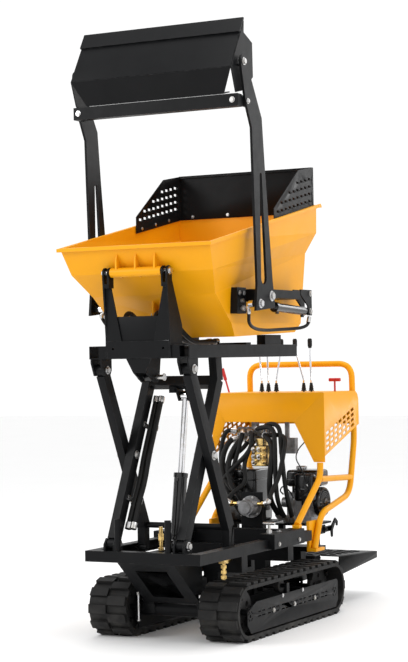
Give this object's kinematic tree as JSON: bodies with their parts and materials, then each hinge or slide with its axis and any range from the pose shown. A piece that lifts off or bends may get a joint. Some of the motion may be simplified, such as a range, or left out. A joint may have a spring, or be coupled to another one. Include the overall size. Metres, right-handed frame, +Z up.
{
  "type": "power wheelbarrow",
  "caption": "Tracked power wheelbarrow, raised on its scissor lift, with a tipping skip, self-loading bucket on long arms, lever console, engine and folding rear step.",
  "frame": {"origin": "on the ground under the middle of the overall box", "axes": "+X to the right seen from behind the front end, front faces -Y, +Z up"},
  "size_m": [0.916, 2.1642, 2.8482],
  "materials": {
    "black_paint": "satin",
    "yellow_paint": "gloss",
    "track_rubber": "matte",
    "hose_rubber": "satin",
    "zinc_steel": "plated",
    "chromed_steel": "polished",
    "red_plastic": "gloss",
    "brass_fittings": "satin",
    "cast_wheels": "rough",
    "engine_metal": "cast"
  },
  "bodies": {
    "chassis": {"track_belt_r": "track_rubber", "track_belt_l": "track_rubber", "side_guards": "black_paint", "track_frames": "black_paint", "chassis": "black_paint", "front_guard": "black_paint", "lower_frame": "black_paint", "rail_sockets": "black_paint", "chassis_bolts": "zinc_steel", "engine_block": "engine_metal", "engine_covers": "black_paint", "hydraulic_blocks": "engine_metal", "fittings": "brass_fittings", "hoses": "hose_rubber", "cowl": "yellow_paint", "tube_frame": "yellow_paint"},
    "sprocket_r": {"sprocket_r": "cast_wheels"},
    "sprocket_l": {"sprocket_l": "cast_wheels"},
    "idler_r": {"idler_r": "cast_wheels"},
    "idler_l": {"idler_l": "cast_wheels"},
    "roller_r1": {"roller_r1": "cast_wheels"},
    "roller_r2": {"roller_r2": "cast_wheels"},
    "roller_l1": {"roller_l1": "cast_wheels"},
    "roller_l2": {"roller_l2": "cast_wheels"},
    "carrier_r": {"carrier_r": "cast_wheels"},
    "carrier_l": {"carrier_l": "cast_wheels"},
    "clamp_screw_r": {"clamp_screw_r": "zinc_steel"},
    "inner_arms": {"inner_arms": "black_paint", "arm_hoses": "hose_rubber", "scissor_pins": "zinc_steel"},
    "upper_rollers": {"upper_rollers": "cast_wheels"},
    "outer_arms": {"outer_arms": "black_paint"},
    "lower_rollers": {"lower_rollers": "cast_wheels"},
    "upper_frame": {"upper_frame": "black_paint", "towers": "black_paint", "frame_pins": "zinc_steel", "tower_hoses": "hose_rubber"},
    "lift_barrel": {"lift_barrel": "black_paint"},
    "lift_rod": {"lift_rod": "chromed_steel"},
    "tip_barrel": {"tip_barrel": "black_paint"},
    "tip_rod": {"tip_rod": "chromed_steel"},
    "loader_barrels": {"loader_barrels": "black_paint"},
    "loader_rods": {"loader_rods": "chromed_steel"},
    "skip": {"skip_tub": "yellow_paint", "boards": "black_paint", "loader_mounts": "black_paint", "skip_bolts": "zinc_steel", "skip_hoses": "hose_rubber"},
    "loader": {"loader_arms": "black_paint", "bucket": "black_paint", "loader_bolts": "zinc_steel"},
    "lever_1": {"lever_1": "chromed_steel"},
    "lever_2": {"lever_2": "chromed_steel"},
    "lever_3": {"lever_3": "chromed_steel"},
    "lever_4": {"lever_4": "chromed_steel"},
    "lever_5": {"lever_5": "chromed_steel"},
    "pull_knob": {"pull_knob": "red_plastic"},
    "side_lever": {"side_lever": "red_plastic"},
    "step_plate": {"step_plate": "black_paint"},
    "hook": {"hook": "black_paint"}
  },
  "joints": [
    {"name": "drive_r", "type": "hinge", "parent": "chassis", "child": "sprocket_r", "pos_m": [0.29, 0.234, 0.13559], "axis": [1, 0, 0], "continuous": true},
    {"name": "idle_r", "type": "hinge", "parent": "chassis", "child": "idler_r", "pos_m": [0.29, -0.738, 0.13559], "axis": [1, 0, 0], "continuous": true},
    {"name": "roll_r1", "type": "hinge", "parent": "chassis", "child": "roller_r1", "pos_m": [0.29, -0.4464, 0.063], "axis": [1, 0, 0], "continuous": true},
    {"name": "roll_r2", "type": "hinge", "parent": "chassis", "child": "roller_r2", "pos_m": [0.29, -0.0576, 0.063], "axis": [1, 0, 0], "continuous": true},
    {"name": "carry_r", "type": "hinge", "parent": "chassis", "child": "carrier_r", "pos_m": [0.29, -0.31032, 0.20818], "axis": [1, 0, 0], "continuous": true},
    {"name": "drive_l", "type": "hinge", "parent": "chassis", "child": "sprocket_l", "pos_m": [-0.29, 0.234, 0.13559], "axis": [1, 0, 0], "continuous": true},
    {"name": "idle_l", "type": "hinge", "parent": "chassis", "child": "idler_l", "pos_m": [-0.29, -0.738, 0.13559], "axis": [1, 0, 0], "continuous": true},
    {"name": "roll_l1", "type": "hinge", "parent": "chassis", "child": "roller_l1", "pos_m": [-0.29, -0.4464, 0.063], "axis": [1, 0, 0], "continuous": true},
    {"name": "roll_l2", "type": "hinge", "parent": "chassis", "child": "roller_l2", "pos_m": [-0.29, -0.0576, 0.063], "axis": [1, 0, 0], "continuous": true},
    {"name": "carry_l", "type": "hinge", "parent": "chassis", "child": "carrier_l", "pos_m": [-0.29, -0.31032, 0.20818], "axis": [1, 0, 0], "continuous": true},
    {"name": "clamp_turn", "type": "hinge", "parent": "chassis", "child": "clamp_screw_r", "pos_m": [0.286, -0.302, 0.4753], "axis": [0, 0, 1], "range_deg": [-180, 180]},
    {"name": "lift", "type": "hinge", "parent": "chassis", "child": "inner_arms", "pos_m": [0, -0.984, 0.455], "axis": [1, 0, 0], "range_deg": [-53.4, 0]},
    {"name": "lift_cross", "type": "hinge", "parent": "inner_arms", "child": "outer_arms", "pos_m": [0, -0.78933, 0.85238], "axis": [1, 0, 0], "range_deg": [-0.05, 106.85]},
    {"name": "lift_top", "type": "hinge", "parent": "outer_arms", "child": "upper_frame", "pos_m": [0, -0.984, 1.24975], "axis": [1, 0, 0], "range_deg": [-53.45, 0.05]},
    {"name": "upper_roll", "type": "hinge", "parent": "inner_arms", "child": "upper_rollers", "pos_m": [0, -0.63766, 1.32475], "axis": [1, 0, 0], "continuous": true},
    {"name": "lower_roll", "type": "hinge", "parent": "outer_arms", "child": "lower_rollers", "pos_m": [0, -0.62198, 0.404], "axis": [1, 0, 0], "continuous": true},
    {"name": "lift_swing", "type": "hinge", "parent": "chassis", "child": "lift_barrel", "pos_m": [0, -0.711, 0.414], "axis": [1, 0, 0], "range_deg": [-66.4, 0.05]},
    {"name": "lift_stroke", "type": "slide", "parent": "lift_barrel", "child": "lift_rod", "axis": [0, 0.1639, 0.9865], "range_m": [-0.2073, 0.0005]},
    {"name": "tip", "type": "hinge", "parent": "upper_frame", "child": "skip", "pos_m": [0, -1.042, 1.69205], "axis": [1, 0, 0], "range_deg": [0, 40]},
    {"name": "tip_swing", "type": "hinge", "parent": "upper_frame", "child": "tip_barrel", "pos_m": [0, -0.934, 1.21505], "axis": [1, 0, 0], "range_deg": [-3.22, 0.05]},
    {"name": "tip_stroke", "type": "slide", "parent": "tip_barrel", "child": "tip_rod", "axis": [0, 0.2858, 0.9583], "range_m": [-0.0005, 0.1855]},
    {"name": "load", "type": "hinge", "parent": "skip", "child": "loader", "pos_m": [0, -0.565, 1.58005], "axis": [1, 0, 0], "range_deg": [0, 68]},
    {"name": "load_swing", "type": "hinge", "parent": "skip", "child": "loader_barrels", "pos_m": [0, -0.076, 1.51805], "axis": [1, 0, 0], "range_deg": [-0.05, 7.82]},
    {"name": "load_stroke", "type": "slide", "parent": "loader_barrels", "child": "loader_rods", "axis": [0, -0.9992, 0.0411], "range_m": [-0.1142, 0.0005]},
    {"name": "lever_1_tilt", "type": "hinge", "parent": "chassis", "child": "lever_1", "pos_m": [-0.138, 0.526, 1.09], "axis": [1, 0, 0], "range_deg": [-12, 12], "stiffness_Nm_per_rad": 2},
    {"name": "lever_2_tilt", "type": "hinge", "parent": "chassis", "child": "lever_2", "pos_m": [-0.099, 0.526, 1.09], "axis": [1, 0, 0], "range_deg": [-12, 12], "stiffness_Nm_per_rad": 2},
    {"name": "lever_3_tilt", "type": "hinge", "parent": "chassis", "child": "lever_3", "pos_m": [-0.053, 0.526, 1.09], "axis": [1, 0, 0], "range_deg": [-12, 12], "stiffness_Nm_per_rad": 2},
    {"name": "lever_4_tilt", "type": "hinge", "parent": "chassis", "child": "lever_4", "pos_m": [0.106, 0.526, 1.09], "axis": [1, 0, 0], "range_deg": [-12, 12], "stiffness_Nm_per_rad": 2},
    {"name": "lever_5_tilt", "type": "hinge", "parent": "chassis", "child": "lever_5", "pos_m": [0.149, 0.526, 1.09], "axis": [1, 0, 0], "range_deg": [-12, 12], "stiffness_Nm_per_rad": 2},
    {"name": "knob_pull", "type": "slide", "parent": "chassis", "child": "pull_knob", "axis": [0, 0, 1], "range_m": [0, 0.04]},
    {"name": "throttle", "type": "hinge", "parent": "chassis", "child": "side_lever", "pos_m": [-0.33, 0.526, 1.098], "axis": [1, 0, 0], "range_deg": [-25, 25]},
    {"name": "step_fold", "type": "hinge", "parent": "chassis", "child": "step_plate", "pos_m": [0, 0.536, 0.246], "axis": [1, 0, 0], "range_deg": [0, 85]},
    {"name": "hook_turn", "type": "hinge", "parent": "chassis", "child": "hook", "pos_m": [0.302, 0.326, 0.418], "axis": [1, 0, 0], "range_deg": [-30, 15]}
  ],
  "couplings": [
    {"joint": "lift_cross", "follows": "lift", "ratio": -2},
    {"joint": "lift_top", "follows": "lift", "ratio": 1},
    {"joint": "lift_swing", "follows": "lift", "ratio": 1.2424},
    {"joint": "lift_stroke", "follows": "lift", "m_per_rad": 0.22191},
    {"joint": "tip_swing", "follows": "tip", "ratio": -0.079322},
    {"joint": "tip_stroke", "follows": "tip", "m_per_rad": 0.26504},
    {"joint": "load_swing", "follows": "load", "ratio": 0.11433},
    {"joint": "load_stroke", "follows": "load", "m_per_rad": -0.095822},
    {"joint": "idle_r", "follows": "drive_r", "ratio": 1.0956},
    {"joint": "roll_r1", "follows": "drive_r", "ratio": 3.581},
    {"joint": "roll_r2", "follows": "drive_r", "ratio": 3.581},
    {"joint": "carry_r", "follows": "drive_r", "ratio": 3.581},
    {"joint": "idle_l", "follows": "drive_l", "ratio": 1.0956},
    {"joint": "roll_l1", "follows": "drive_l", "ratio": 3.581},
    {"joint": "roll_l2", "follows": "drive_l", "ratio": 3.581},
    {"joint": "carry_l", "follows": "drive_l", "ratio": 3.581}
  ]
}
